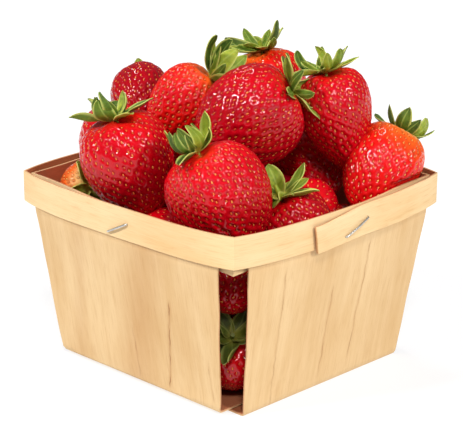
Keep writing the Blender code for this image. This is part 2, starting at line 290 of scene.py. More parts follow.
def veneer_finish(name, pale, tan, brown, splits=()):
    """Bare poplar: bands and streaks drawn out along the grain, fine pores, and any splits, with painted
    shade and a painted reddish glow over the inner faces.

    The grain mark holds metres across the grain, metres along it, and a number for the strip,
    and each noise is scaled by so many a metre across it and along it. A split is a line between
    two points on that plane, wavering and broken; one wider than a millimetre is only a soft stain.
    """
    wood = Finish(name, Specular_IOR_Level=0.3)
    grain = wood.mark("grain", vector=True)
    broad = wood.noise(wood.scaled(grain, (38.0, 13.0, 1.0)), 1.0, 3.0, 0.5)
    streaks = wood.noise(wood.scaled(grain, (260.0, 11.0, 7.0)), 1.0, 5.0, 0.65)
    fibres = wood.noise(wood.scaled(grain, (2300.0, 90.0, 3.0)), 1.0, 3.0, 0.6)
    blots = wood.noise(wood.scaled(grain, (150.0, 60.0, 5.0)), 1.0, 4.0, 0.6)
    tone = wood.step(broad * 0.60 + streaks * 0.30 + blots * 0.10, 0.30, 0.72)
    color = wood.mix(tone, pale, tan)
    color = wood.mix(wood.step(streaks, 0.60, 0.84) * 0.30, color, brown)
    color = wood.mix(wood.step(blots, 0.55, 0.80) * 0.13, color, brown)
    color = wood.mix(wood.step(fibres, 0.48, 0.72) * 0.24, color, brown)
    # Painted shade: the inner faces are multiplied darker and redder, standing in for the shade inside the
    # basket and the red light from the berries
    color = wood.mix(wood.mark("inner") * 0.75, color, paint(176, 74, 42), "MULTIPLY")
    height = fibres * 0.6 + streaks * 0.4
    if splits:
        across, along, side = wood.parts(grain)
        waver = (wood.noise(wood.scaled(grain, (120.0, 120.0, 1.0)), 1.0, 3.0, 0.6) - 0.5) * 0.0024
        broken = wood.step(wood.noise(wood.scaled(grain, (6.0, 95.0, 9.0)), 1.0, 2.0, 0.5), 0.44, 0.60)
        for number, (start, end, width, strength) in splits:
            slope = (end[0] - start[0]) / (end[1] - start[1])
            away = wood.math("ABSOLUTE", across + waver - start[0] * MM - (along - start[1] * MM) * slope)
            inside = wood.step(along, end[1] * MM, (end[1] + SPLIT_FADE) * MM)
            inside = inside * (1 - wood.step(along, (start[1] - SPLIT_FADE) * MM, start[1] * MM))
            same = wood.math("COMPARE", side, number)
            same.socket.node.inputs[2].default_value = 0.5
            there = inside * same * strength
            halo = (1 - wood.step(away, 0.0, width * 5 * MM)) * there
            color = wood.mix(halo * 0.30, color, brown)
            if width > 1:
                continue
            line = (1 - wood.step(away, width * 0.3 * MM, width * MM)) * there * (broken * 0.65 + 0.35)
            color = wood.mix(line * 0.65, color, paint(146, 84, 36))
            height = height - line * 2.0
    return wood.show(color, 0.62 + streaks * 0.12, height, 0.00009)


STRIP_COLUMNS = 58
RAGGED_EDGE = 0.35 * MM
PANEL_WAVE = 0.45 * MM
SLACK_FROM = 9 * MM
SLACK_TO = 48 * MM
SLACK_FADE = 16 * MM


def strip_grid(bottom, seed):
    """A strip as a grid: down one side, round the fold, along the bottom and up the other side.

    Returns its outer face with the strip along Y, and the grain mark of each grid point.
    """
    spread = np.linspace(1, -1, STRIP_COLUMNS)
    heights = np.linspace(PANEL_TOP, bottom + FOLD_RADIUS, 44)[:, None]
    ragged = uneven(heights * 0, heights, seed, 31 * MM) * RAGGED_EDGE
    half = PANEL_HALF_AT_FOOT + (PANEL_HALF_AT_TOP - PANEL_HALF_AT_FOOT) * heights / PANEL_TOP + ragged
    across = spread * half
    reach = side_reach(spread * PANEL_HALF_AT_TOP, heights)
    slack = ease(heights / SLACK_FROM) * (1 - ease((heights - SLACK_TO) / SLACK_FADE))
    side = []
    for number in (1, 2):
        wavy = uneven(across, heights, seed + number, 58 * MM) * PANEL_WAVE * slack
        side.append(np.stack([across, -(reach + wavy), heights + across * 0], -1))
    turn = np.radians(np.linspace(0, 90, 7)[1:])[:, None]
    fold_reach = FOOT_HALF - FOLD_RADIUS * (1 - np.cos(turn)) + spread * 0
    fold_height = bottom + FOLD_RADIUS * (1 - np.sin(turn)) + spread * 0
    fold = np.stack([spread * PANEL_HALF_AT_FOOT + turn * 0, -fold_reach, fold_height], -1)
    inner_half = FOOT_HALF - FOLD_RADIUS
    floor_y = np.linspace(-inner_half, inner_half, 30)[1:-1, None]
    floor = np.stack(np.broadcast_arrays(spread * PANEL_HALF_AT_FOOT, floor_y, bottom), -1)
    far = np.concatenate([fold[::-1], side[1][::-1]]) * (1, -1, 1)
    grid = np.concatenate([side[0], fold, floor, far])
    along = distance_along(grid[:, STRIP_COLUMNS // 2])
    first = np.arange(len(grid)) < len(grid) // 2
    height = np.where(first, PANEL_TOP - along, along - along[-1] + PANEL_TOP)
    number = np.where(first, seed + 1, seed + 2)
    grain = np.stack(np.broadcast_arrays(grid[..., 0], height[:, None], number[:, None]), -1)
    return grid, grain


def turned(points, quarters):
    """Points turned about Z by a number of quarter turns."""
    cos, sin = round(math.cos(math.pi * quarters / 2)), round(math.sin(math.pi * quarters / 2))
    return points @ np.array([[cos, sin, 0], [-sin, cos, 0], [0, 0, 1]])


panel_wood = veneer_finish(
    "panel veneer",
    paint(231, 200, 152),
    paint(212, 173, 120),
    paint(176, 116, 62),
    # Splits: strip, top and foot in millimetres across and up, width in millimetres, strength
    (
        (21, ((20, 80), (-2, -8), 3.6, 0.8)),
        (21, ((-22, 80), (-38, -8), 1.5, 0.6)),
        (21, ((28, 49), (20, 1), 0.36, 1.0)),
        (21, ((2, 30), (3, 0), 0.25, 0.5)),
        (21, ((45, 26), (46, 2), 0.22, 0.5)),
        (31, ((-36.3, 66), (-33.2, -4), 0.24, 0.6)),
        (31, ((-4.5, 50), (-4.5, 2), 0.30, 0.7)),
        (31, ((15, 68), (13.4, 6), 0.26, 0.7)),
        (32, ((20, 55), (22, 12), 0.30, 0.7)),
        (22, ((-18, 60), (-16, 5), 0.35, 0.8)),
    ),
)
for strip_name, bottom, quarters, seed in (
    ("strip_over", VENEER + LAYER_GAP, 0, 20),
    ("strip_under", 0.0, 1, 30),
):
    grid, grain = strip_grid(bottom, seed)
    add_veneer(strip_name, turned(grid, quarters), grain, panel_wood, "panel_wood")


# ---- The outer band ---------------------------------------------------------------------------
# One long strip of the same veneer, wrapped once round the tops of the sides with its grain
# along it. It laps over its own start on the +X side, where it hangs a little lower.

RIM_TOP = 83.0 * MM
BAND_HEIGHT = 13.4 * MM
LAP_START = 10.0 * MM
LAP_END = -23.5 * MM
LAP_TOP_DROP = 3.2 * MM
LAP_FOOT_DROP = 1.2 * MM
LAP_STAND_OFF = 0.9 * MM
LAP_SLANT = -1.4 * MM
DROP_FROM = 12 * MM
LIFT_FROM = 45 * MM
LIFT_OVER = 33 * MM
STAND_OFF_FROM = -8 * MM
SLANT_OVER = 20 * MM
BAND_WAVE = 0.14 * MM
BAND_EDGE_WAVE = 0.16 * MM


def outer_band_grid():
    """Rows from top to bottom of a path round the rim: side after side, the last one lifted.

    Towards its end the band leaves the one below, narrows, and is cut off on a slant.
    """
    side = RIM_CORNER * np.sin(np.linspace(math.pi / 2, -math.pi / 2, 111))
    first = np.append(LAP_START, side[side < LAP_START])
    last = np.append(side[side > LAP_END], LAP_END)
    runs = [(1, first[:-1]), (0, side[:-1]), (-1, side[:-1]), (2, side[:-1]), (1, last)]
    path = [turned(np.stack([run, -rim_reach(run), run * 0], -1), quarters) for quarters, run in runs]
    path = np.concatenate(path)
    length = distance_along(path)
    place = np.concatenate([np.ones(len(path) - len(last)), last])
    lapped = ease((DROP_FROM - place) / (DROP_FROM - LAP_END))
    lift = (VENEER + LAYER_GAP) * ease((LIFT_FROM - place) / LIFT_OVER)
    lift = lift + LAP_STAND_OFF * ease((STAND_OFF_FROM - place) / (STAND_OFF_FROM - LAP_END))
    part = np.linspace(1, 0, 9)[:, None]
    out = turned(np.array([(0.0, -1.0, 0.0)]), 1)[0]
    wavy = uneven(length, part * BAND_HEIGHT, 41, 70 * MM) * BAND_WAVE
    away = path / np.linalg.norm(path, axis=1, keepdims=True)
    grid = path + away * wavy[..., None] + out * lift[:, None]
    drop = (LAP_TOP_DROP * part + LAP_FOOT_DROP * (1 - part)) * lapped
    grid[..., 1] += LAP_SLANT * (part - 0.5) * ease(-place / SLANT_OVER)
    edge_wave = uneven(length, part * 0, 42, 23 * MM) * BAND_EDGE_WAVE
    grid[..., 2] = RIM_TOP - BAND_HEIGHT * (1 - part) - drop + edge_wave
    grain = np.stack(np.broadcast_arrays(grid[..., 2] + drop, length[None, :], 51.0), -1)
    return grid, grain


# Partly painted light: the bands' veneer is paler than the sides', lifting the inner band out of the shade
# that the outer band casts on it
band_wood = veneer_finish("band veneer", paint(242, 215, 168), paint(228, 188, 132), paint(190, 130, 70))
add_veneer("rim_outer", *outer_band_grid(), band_wood, "band_wood", 25)


# ---- The inner band ---------------------------------------------------------------------------
# The same veneer inside the sides, sagging towards the front corner. It is creased at each
# corner and bows outwards between them, and its two ends meet at the middle of the +Y side.

INNER_BAND_HEIGHT = 12.6 * MM
INNER_DROP = 0.5 * MM
INNER_DROP_AT_FRONT = 4.5 * MM
INNER_CORNER = 61.3 * MM
INNER_BOW = 4.4 * MM
INNER_EDGE_WAVE = 0.18 * MM


def inner_reach(across):
    """Outer face of the inner band: c + b cos^2(pi x / 2c), the crease being at x = c."""
    return INNER_CORNER + INNER_BOW * np.cos(math.pi * across / (2 * INNER_CORNER)) ** 2


def inner_drop(x, y):
    """How far its top edge is below the rim: the third power of the share of the way forward."""
    forward = (1 + (x - y) / (2 * INNER_CORNER)) / 2
    return INNER_DROP + (INNER_DROP_AT_FRONT - INNER_DROP) * forward**3


across = INNER_CORNER * np.sin(np.linspace(-math.pi / 2, math.pi / 2, 61))
side = np.stack([across, -inner_reach(across), across * 0], -1)
loop = np.concatenate([turned(side[:-1], quarter) for quarter in (-1, 0, 1, 2)])
loop = np.roll(loop, len(side) // 2, axis=0)
loop = np.concatenate([loop, loop[:1]])
loop[0, 0] -= LAYER_GAP
loop[-1, 0] += LAYER_GAP
loop = loop[::-1]
length = distance_along(loop)
part = np.linspace(1, 0, 7)[:, None]
height = RIM_TOP - inner_drop(loop[:, 0], loop[:, 1]) - INNER_BAND_HEIGHT * (1 - part)
height = height + uneven(length, part * 0, 43, 27 * MM) * INNER_EDGE_WAVE
grid = np.stack(np.broadcast_arrays(loop[:, 0], loop[:, 1], height), -1)
grain = np.stack(np.broadcast_arrays(height, length[None, :], 57.0), -1)
add_veneer("rim_inner", grid, grain, band_wood, "band_wood", 30)


# ---- The staples ------------------------------------------------------------------------------
# Galvanised steel wire, one staple through all the layers at the middle of each side. Each is
# driven slanting, from outside, and its ends are turned over towards each other inside.

WIRE = 0.9 * MM
STAPLE_LEGS = {
    "staple_front": ((-2.7, 71.2), (8.6, 76.8)),
    "staple_right": ((-5.4, 71.5), (8.1, 77.0)),
    "staple_back": ((-8.0, 76.0), (4.8, 72.0)),
    "staple_left": ((-4.0, 71.4), (8.8, 74.6)),
}
CLINCH = 4.0 * MM
WIRE_BEND = 0.75 * MM
CROWN_BULGE = 0.35 * MM
CLINCH_STAND = 0.3 * MM


def rounded_path(corners, radius, steps=6):
    """A polyline with each inner corner replaced by a curve: a quadratic from side to side."""
    route = [corners[0]]
    for before, corner, after in zip(corners, corners[1:], corners[2:]):
        start = corner + (before - corner) * min(0.5, radius / np.linalg.norm(before - corner))
        end = corner + (after - corner) * min(0.5, radius / np.linalg.norm(after - corner))
        t = np.linspace(0, 1, steps)[:, None]
        route.extend((1 - t) ** 2 * start + 2 * t * (1 - t) * corner + t**2 * end)
    return np.array([*route, corners[-1]])


def tube(route, radii, sides=12):
    """A round profile carried along a path, closed to a point at both ends.

    Each ring stands square to the path, and is turned from the last as little as possible.
    """
    ahead = np.gradient(route, axis=0)
    ahead /= np.linalg.norm(ahead, axis=1, keepdims=True)
    across = np.cross(ahead[0], (0.3, 0.2, 1.0))
    frames = []
    for direction in ahead:
        across = across - direction * (across @ direction)
        across = across / np.linalg.norm(across)
        frames.append((across, np.cross(direction, across)))
    frames = np.array(frames)
    turn = np.linspace(0, 2 * math.pi, sides, endpoint=False)
    circle = np.stack([np.cos(turn), np.sin(turn)], -1)
    rings = route[:, None] + np.einsum("sk,rkc->rsc", circle, frames) * np.reshape(radii, (-1, 1, 1))
    return closed_grid(np.concatenate([[rings[0] * 0 + route[0]], rings, [rings[0] * 0 + route[-1]]]))


def ball_angles(rows, columns):
    """Angles down from a ball's pole, as a column, and round it, as a row."""
    down = np.linspace(0, math.pi, rows)[:, None]
    return down, np.linspace(0, 2 * math.pi, columns, endpoint=False)[None, :]


def closed_grid(grid):
    """A ball from a grid whose first and last rows are each one point: points, quads, triangles."""
    rows, columns = grid.shape[:2]
    points = np.concatenate([grid[:1, 0], grid[1:-1].reshape(-1, 3), grid[-1:, 0]])
    quads = grid_faces(rows - 2, columns, wrap=True) + 1
    column = np.arange(columns)
    after = (column + 1) % columns
    last = len(points) - 1
    base = 1 + (rows - 3) * columns
    first_cap = np.stack([column * 0, column + 1, after + 1], -1)
    last_cap = np.stack([column * 0 + last, after + base, column + base], -1)
    return points, quads, np.concatenate([first_cap, last_cap])


wire = Finish("galvanised wire", Metallic=1.0)
place = wire.node("TexCoord", out=3)
drawn = wire.noise(place, 2500.0, 3.0, 0.6)
patches = wire.noise(place, 300.0, 2.0, 0.5)
wire_finish = wire.show(
    wire.mix(patches, paint(178, 176, 172), paint(224, 222, 218)), 0.28 + drawn * 0.2, drawn, 0.00002
)
for quarters, (staple_name, legs) in enumerate(STAPLE_LEGS.items()):
    ends = np.array([(along, 0, height) for along, height in legs]) * MM
    middle = abs(ends[:, 0]).mean()
    layers = VENEER + LAYER_GAP if staple_name == "staple_right" else 0.0
    outside = rim_reach(middle) + layers + LAYER_GAP + WIRE / 2
    inside = inner_reach(middle) - VENEER - LAYER_GAP - WIRE / 2
    towards = (ends[1] - ends[0]) / np.linalg.norm(ends[1] - ends[0])
    out = np.array((0.0, -1.0, 0.0))
    centre = (ends[0] + ends[1]) / 2
    turned_over = inside - CLINCH_STAND
    corners = [ends[0] + towards * CLINCH + out * turned_over, ends[0] + out * inside]
    corners += [ends[0] + out * outside, centre + out * (outside + CROWN_BULGE), ends[1] + out * outside]
    corners += [ends[1] + out * inside, ends[1] - towards * CLINCH + out * turned_over]
    route = rounded_path(corners, WIRE_BEND)
    radii = np.full(len(route), WIRE / 2)
    radii[[0, -1]] *= 0.35
    points, quads, caps = tube(turned(route, quarters), radii)
    add_piece(staple_name + "_wire", points, quads, wire_finish, [staple_name], triangles=caps)


# ---- The strawberries -------------------------------------------------------------------------
# Ripe strawberries as picked, each a little different: a glossy skin quilted by the pits that
# its seeds sit in, and paler towards the stalk. Those against the walls are pressed flat there.

# Centre x, y, z, width and length in millimetres; the stalk end's lean from upright and heading
# from +X in degrees; how much it narrows to its tip; ripeness from 0 (pale) to 1 (darkest);
# depth of the pits and spacing of the seeds in millimetres; how much paler it is at the stalk.
# The last three are left out where they are the usual ones.
FIELDS = "x y z width length lean heading taper ripe pit spacing pale"
Berry = namedtuple("Berry", FIELDS, defaults=(0.63, 3.5, 0.25))
BERRIES = {
    "front_left": (-17, -43, 90.5, 40, 49, 18, 228, 0.25, 0.84, 0.51, 3.5, 0.34),
    "front": (31, -38, 87, 43, 47, 27, 222, 0.12, 0.80, 0.77, 3.2, 0.20),
    "upper_left": (-26, -3, 109, 31, 37, 46, 45, 0.18, 0.60, 0.70, 3.3, 0.42),
    "far_left": (-57, -1, 106, 28, 35, 70, 130, 0.15, 0.92, 0.56, 3.3, 0.06),
    "left": (-51, -23, 91, 31, 40, 75, 135, 0.15, 0.74, 0.56, 3.4, 0.20),
    "summit": (-16, 41, 109, 34, 42, 12, 205, 0.22, 0.68, 0.63, 3.3, 0.46),
    "middle": (10, 0, 109, 44, 49, 58, 48, 0.12, 0.87, 0.70, 3.4, 0.16),
    "upper_right": (29, 36, 105, 35, 48, 17, 205, 0.42, 0.80, 0.67, 3.2, 0.18),
    "right": (47, 44, 84.5, 35, 43, 50, 95, 0.22, 0.66, 0.59, 3.3, 0.52),
    "front_right": (46, -7, 69, 31, 37, 28, 236, 0.20, 0.90, 0.63, 3.3, 0.20),
    "left_corner": (-45, -44, 76, 24, 27, 75, 330, 0.15, 0.36, 0.49, 3.0, 0.40),
    "right_inner": (31, 13, 70, 28, 34, 60, 320, 0.20, 0.85),
    "right_wall": (50, 15, 56, 25, 32, 70, 85, 0.20, 0.72),
    "back": (-43, 43, 82, 34, 40, 50, 330, 0.22, 0.68),
    "back_right": (8, 43, 79, 34, 38, 60, 170, 0.22, 0.76),
    "back_left": (-45, 12, 73, 31, 36, 60, 260, 0.20, 0.80),
    "front_inner": (6, -42, 58, 33, 38, 70, 190, 0.20, 0.84),
    "left_inner": (-18, -20, 62, 32, 38, 50, 200, 0.20, 0.80),
    "second_front": (36, -35, 52, 31, 38, 75, 130, 0.20, 0.82, 0.70, 3.5, 0.25),
    "second_right_side": (42, 3, 45, 30, 36, 70, 95, 0.20, 0.75),
    "second_right": (38, 37, 50, 32, 40, 60, 240, 0.20, 0.70),
    "second_back_side": (2, 41, 47, 31, 38, 75, 10, 0.20, 0.75),
    "second_back": (-37, 37, 49, 33, 40, 60, 330, 0.20, 0.72),
    "second_left_side": (-42, -4, 44, 30, 36, 70, 80, 0.20, 0.78),
    "second_left": (-42, -38, 48, 29, 36, 50, 40, 0.20, 0.70),
    "bottom_front_side": (-2, -39, 24, 30, 36, 75, 0, 0.20, 0.75),
    "bottom_front": (36, -36, 18, 32, 38, 42, 315, 0.20, 0.86, 0.56, 3.5, 0.25),
    "bottom_right_side": (38, 2, 18, 28, 34, 80, 90, 0.20, 0.75),
    "bottom_right": (33, 34, 20, 32, 38, 60, 50, 0.20, 0.62),
    "bottom_back_side": (0, 37, 18, 29, 36, 85, 0, 0.20, 0.75),
    "bottom_back": (-33, 33, 20, 32, 38, 50, 140, 0.20, 0.74),
    "bottom_left_side": (-37, 0, 18, 29, 34, 80, 270, 0.20, 0.75),
    "bottom_left": (-33, -34, 20, 31, 38, 65, 220, 0.20, 0.70),
}
BERRIES = {name: Berry(*row) for name, row in BERRIES.items()}
FLOOR_CLEAR = 3.0 * MM
WALL_CLEAR = 0.6 * MM
STAPLE_ROOM = 1.4 * MM
SQUASH = 0.5 * MM
FLARE_ABOVE_RIM = 2.0
SHOULDER_DIP = 0.07


def centre_of(berry):
    """A berry's centre in metres."""
    return np.array(berry[:3]) * MM


def axes_of(berry):
    """Unit axes of a berry as rows: two across it, and the one towards its stalk."""
    lean, heading = math.radians(berry.lean), math.radians(berry.heading)
    flat = np.array((math.cos(heading), math.sin(heading), 0))
    up = math.sin(lean) * flat + np.array((0, 0, math.cos(lean)))
    across = np.array((-math.sin(heading), math.cos(heading), 0))
    return np.array((np.cross(across, up), across, up))


def profile(down, berry):
    """A berry's half width and height over an angle from stalk to tip.

    The half width is sin^0.92 times 1 + taper cos; the height is a cosine with a dip on top.
    """
    whole = np.linspace(0, math.pi, 181)
    widest = (np.sin(whole) ** 0.92 * (1 + berry.taper * np.cos(whole))).max()
    girth = np.sin(down) ** 0.92 * (1 + berry.taper * np.cos(down)) / widest * berry.width / 2 * MM
    height = berry.length * MM * (np.cos(down) / 2 - SHOULDER_DIP * np.exp(-((down / 0.4) ** 2)))
    return girth, height


def pressed(points):
    """Points held clear of the floor and walls, easing into the flat over about a millimetre.

    From the inner band's foot up, the band is the wall; above the rim the wall leans away.
    """
    x, y, z = np.moveaxis(points, -1, 0)
    band_foot = RIM_TOP - INNER_DROP_AT_FRONT - INNER_BAND_HEIGHT
    beside_band = ease((z - band_foot + 3 * MM) / (2 * MM))
    flare = np.maximum(z - RIM_TOP - LAYER_GAP, 0) * FLARE_ABOVE_RIM
    sides = []
    for value, other in ((x, y), (y, x)):
        other = np.clip(other, -INNER_CORNER, INNER_CORNER)
        panel = side_reach(np.clip(other, -PANEL_HALF_AT_TOP, PANEL_HALF_AT_TOP), z) - VENEER
        room = STAPLE_ROOM * np.cos(math.pi * other / (2 * INNER_CORNER)) ** 8
        band = np.minimum(panel, inner_reach(other) - VENEER - room)
        wall = panel + (band - panel) * beside_band + flare - WALL_CLEAR
        depth = np.clip((np.abs(value) - wall) / SQUASH, -40, 40)
        sides.append(np.sign(value) * (np.abs(value) - SQUASH * np.logaddexp(0, depth)))
    depth = np.clip((FLOOR_CLEAR - z) / SQUASH, -40, 40)
    return np.stack([*sides, z + SQUASH * np.logaddexp(0, depth)], -1)


LOBES = ((2, 0.045), (3, 0.03), (4, 0.018), (5, 0.014), (7, 0.010))


def body(down, turn, berry, seed):
    """A berry's skin without its pits: the profile turned round its axis, with uneven lobes.

    The lobes are waves of 2 to 7 round the axis, strongest at the shoulder, and the axis bends.
    """
    dice = np.random.default_rng(seed)
    girth, height = profile(down, berry)
    lobes = 0
    for waves, size in LOBES:
        phase, drift = dice.uniform(0, 2 * math.pi), dice.uniform(-0.5, 0.5)
        lobes = lobes + size * dice.uniform(0.4, 1) * np.cos(waves * turn + phase + drift * down)
    girth = girth * (1 + lobes * np.sin(np.minimum(down, 2.2)) ** 0.5)
    shoulder = np.cos(3 * turn + dice.uniform(0, 6)) * np.exp(-((down / 0.8) ** 2))
    height = height + berry.length * MM * 0.018 * shoulder
    bend, way = dice.uniform(0.02, 0.07) * berry.width * MM, dice.uniform(0, 2 * math.pi)
    bent = bend * np.cos(down) ** 2 * np.where(down > math.pi / 2, 1.0, 0.0)
    local = [girth * np.cos(turn) + bent * math.cos(way), girth * np.sin(turn) + bent * math.sin(way)]
    local = np.stack(np.broadcast_arrays(*local, height), -1)
    return local @ axes_of(berry) + centre_of(berry)


SEED_AREA = 0.866
BARE_SHOULDER = 0.42
BARE_TIP = 0.06


def seed_places(berry, seed):
    """Angles down and round of each seed: a golden spiral, even in area, slightly disturbed.

    Each seed takes 0.866 times its spacing squared, as in a honeycomb.
    """
    dice = np.random.default_rng(seed + 500)
    down = np.linspace(0.0, math.pi, 400)
    girth, height = profile(down, berry)
    ring = 2 * math.pi * girth[1:] * np.hypot(np.diff(girth), np.diff(height))
    area = np.concatenate([[0], np.cumsum(ring)])
    count = int(area[-1] / (SEED_AREA * (berry.spacing * MM) ** 2))
    share = (np.arange(count) + 0.5 + dice.uniform(-0.18, 0.18, count)) / count
    place = np.interp(share * area[-1], area, down)
    turn = np.arange(count) * math.pi * (3 - math.sqrt(5)) + dice.uniform(-0.06, 0.06, count)
    kept = (place > BARE_SHOULDER) & (place < math.pi - BARE_TIP)
    return place[kept], turn[kept]


def seed_frames(berry, seed):
    """Each seed's place on the skin, and its axes: across, towards the stalk, and outwards."""
    down, turn = seed_places(berry, seed)
    step = 0.01
    place = body(down, turn, berry, seed)
    up = body(down - step, turn, berry, seed) - body(down + step, turn, berry, seed)
    across = body(down, turn + step, berry, seed) - body(down, turn - step, berry, seed)
    up /= np.linalg.norm(up, axis=1, keepdims=True)
    out = np.cross(across, up)
    out /= np.linalg.norm(out, axis=1, keepdims=True)
    return place, np.stack([np.cross(up, out), up, out], 1)


def in_berry(points, berry, margin):
    """Whether points lie inside a berry by a margin: nearer its axis than its girth there."""
    local = (points - centre_of(berry)) @ axes_of(berry).T
    down = np.linspace(0, math.pi, 90)
    girth, height = profile(down, berry)
    order = np.argsort(height)
    limit = np.interp(local[:, 2], height[order], girth[order], 0, 0)
    return np.hypot(local[:, 0], local[:, 1]) < limit - margin


PIT_HALF_SIZE = (0.92 * MM, 1.15 * MM, 2.5 * MM)
POINTS_AT_ONCE = 4000


def pits(points, frames, depth):
    """How deep the pits are at each point: a rounded well round each seed, longer than wide.

    Returns the depth to sink by, and a share from 0 on the ridges to 1 in a pit.
    """
    place, axes = frames
    sink = np.zeros(len(points))
    share = np.zeros(len(points))
    for start in range(0, len(points), POINTS_AT_ONCE):
        some = slice(start, start + POINTS_AT_ONCE)
        far = 0
        for k, half_size in enumerate(PIT_HALF_SIZE):
            away = points[some] @ axes[:, k].T - np.einsum("sc,sc->s", place, axes[:, k])
            far = far + (away / half_size) ** 2
        well = np.exp(-(far**1.5))
        wide = np.exp(-far / 4.5)
        sink[some] = (well * 0.95 + wide * 0.45).max(1) * depth * MM
        share[some] = well.max(1)
    return sink, share


def berry_ripeness(down, turn, berry, seed):
    """Ripeness over a berry: paler round the stalk, the more so on one side, and in patches.

    The paleness falls off from the stalk as exp(-(angle / spread)^2).
    """
    dice = np.random.default_rng(seed + 900)
    pale_side = 0.5 + 0.5 * np.cos(turn - dice.uniform(0, 2 * math.pi))
    stalk = np.exp(-((down / (0.55 + berry.pale)) ** 2)) * (0.7 + 0.5 * pale_side) * berry.pale
    patches = uneven(np.cos(turn) * np.sin(down), np.cos(down) + np.sin(turn), seed + 901, 1.1) * 0.045
    return berry.ripe - stalk - pale_side * 0.04 + patches


skin = Finish(
    "strawberry skin",
    IOR=1.38,
    Specular_IOR_Level=0.12,
    Coat_Weight=0.66,
    Coat_Roughness=0.035,
    Subsurface_Weight=0.08,
    Subsurface_Radius=(1.0, 0.18, 0.12),
    Subsurface_Scale=0.0025,
)
place = skin.node("TexCoord", out=3)
ripe = skin.mark("ripe")
pit = skin.mark("pit")
fine = skin.noise(place, 900.0, 3.0, 0.6)
cloudy = skin.noise(place, 140.0, 3.0, 0.55)
stops = [
    (0.00, paint(236, 186, 116)),
    (0.25, paint(238, 104, 30)),
    (0.50, paint(222, 22, 12)),
    (0.72, paint(202, 2, 20)),
    (1.00, paint(134, 0, 20)),
]
amount = ripe + (cloudy - 0.5) * 0.16 + (fine - 0.5) * 0.07
color = skin.node("ValToRGB", {"stops": stops}, {0: amount})
# Painted shade: the skin is mixed towards a dark red inside each pit, for the shade in the hollows round the
# seeds
color = skin.mix(skin.step(pit, 0.30, 0.95) * 0.45, color, paint(124, 2, 8))
skin_finish = skin.show(color, 0.16 + fine * 0.12, fine * 0.3 + cloudy * 0.7, 0.00022)

# Points round each berry, with more on those at the top and at the near corner
TOP_DETAIL = {"front_left": 226, "front": 236, "middle": 226, "upper_right": 208, "upper_left": 190}
TOP_DETAIL |= {"summit": 182, "right": 182, "left": 164, "far_left": 154, "front_right": 172}
TOP_DETAIL |= {"back": 160, "back_right": 160, "left_corner": 120, "back_left": 120}
TOP_DETAIL |= {"second_front": 120, "bottom_front": 120}
DETAIL_BELOW = 80

all_frames = {}
for seed, (name, berry) in enumerate(BERRIES.items(), start=1):
    columns = TOP_DETAIL.get(name, DETAIL_BELOW)
    rows = int(columns * 0.55)
    down, turn = ball_angles(rows, columns)
    smooth_skin = body(down, turn, berry, seed)
    frames = seed_frames(berry, seed)
    all_frames[name] = frames
    flat = smooth_skin.reshape(-1, 3)
    sink, share = pits(flat, frames, berry.pit)
    around = np.concatenate([smooth_skin[:, -1:], smooth_skin, smooth_skin[:, :1]], 1)
    out = -face_normals(around)[:, 1:-1]
    out[0], out[-1] = axes_of(berry)[2], -axes_of(berry)[2]
    grid = pressed(smooth_skin - out * sink.reshape(rows, columns)[..., None])
    points, quads, caps = closed_grid(grid)
    keep = np.concatenate([[0], np.arange(columns, (rows - 1) * columns), [rows * columns - 1]])
    ripeness = berry_ripeness(*np.broadcast_arrays(down, turn), berry, seed).ravel()
    marks = {"ripe": ripeness[keep], "pit": share[keep]}
    add_piece(
        "berry_" + name, points, quads, skin_finish, ["strawberry_heap"], marks, 180, caps
    )


# ---- Seeds ------------------------------------------------------------------------------------
# Each berry's seeds are dry little drops, golden to brown, pointed towards the stalk. They sit
# in the pits, and all but those buried in the heap are made, as one piece.

SEED_LENGTH = 1.35 * MM
SEED_WIDTH = 0.68 * MM
SEED_HEIGHT = 0.46 * MM
FAR_FROM_CORNER = 25 * MM
BELOW_TOP_BERRIES = 60 * MM


def seed_shape():
    """A drop of two rings of six points: its half width is sin^0.8 of the way along, less at one end."""
    down, turn = ball_angles(4, 6)
    girth = np.maximum(np.sin(down), 0) ** 0.8 * (1 - 0.32 * np.cos(down))
    x = girth * np.cos(turn) * SEED_WIDTH / 2
    z = girth * np.sin(turn) * SEED_HEIGHT / 2
    return np.stack(np.broadcast_arrays(x, np.cos(down) * SEED_LENGTH / 2, z), -1)


shape, quads, caps = closed_grid(seed_shape())
dice = np.random.default_rng(77)
seed_points, seed_tints = [], []
for name, berry in BERRIES.items():
    place, axes = all_frames[name]
    buried = np.zeros(len(place), bool)
    for other_name, other in BERRIES.items():
        if other_name != name:
            buried |= in_berry(place, other, 0.3 * MM)
    buried |= np.abs(pressed(place) - place).max(1) > 0.15 * MM
    inside = np.abs(place[:, :2]).min(1) < FAR_FROM_CORNER
    buried |= inside & (place[:, 2] < BELOW_TOP_BERRIES)
    place, axes = place[~buried], axes[~buried]
    sizes = dice.uniform(0.85, 1.15, (len(place), 1, 1))
    level = place - axes[:, 2] * berry.pit * MM * 1.05
    seed_points.append(level[:, None] + np.einsum("pk,skc->spc", shape, axes) * sizes)
    golden = 1.15 - berry.ripe * 0.75 + dice.uniform(-0.3, 0.3, len(place))
    seed_tints.append(np.repeat(golden, len(shape)))
seed_points = np.concatenate(seed_points)
offsets = (np.arange(len(seed_points)) * len(shape))[:, None, None]

husk = Finish("strawberry seeds", IOR=1.45)
tint = husk.mark("tint")
stops = [
    (0.0, paint(188, 66, 26)),
    (0.35, paint(230, 96, 40)),
    (0.75, paint(252, 152, 66)),
    (1.0, paint(255, 190, 98)),
]
speckle = husk.noise(husk.node("TexCoord", out=3), 1600.0)
color = husk.node("ValToRGB", {"stops": stops}, {0: tint})
color = husk.mix(speckle * 0.4, color, paint(168, 84, 24))
seed_finish = husk.show(color, 0.34 + speckle * 0.15)
add_piece(
    "berry_seeds",
    seed_points.reshape(-1, 3),
    (quads + offsets).reshape(-1, 4),
    seed_finish,
    ["strawberry_heap"],
    {"tint": np.concatenate(seed_tints)},
    180,
    (caps + offsets).reshape(-1, 3),
)
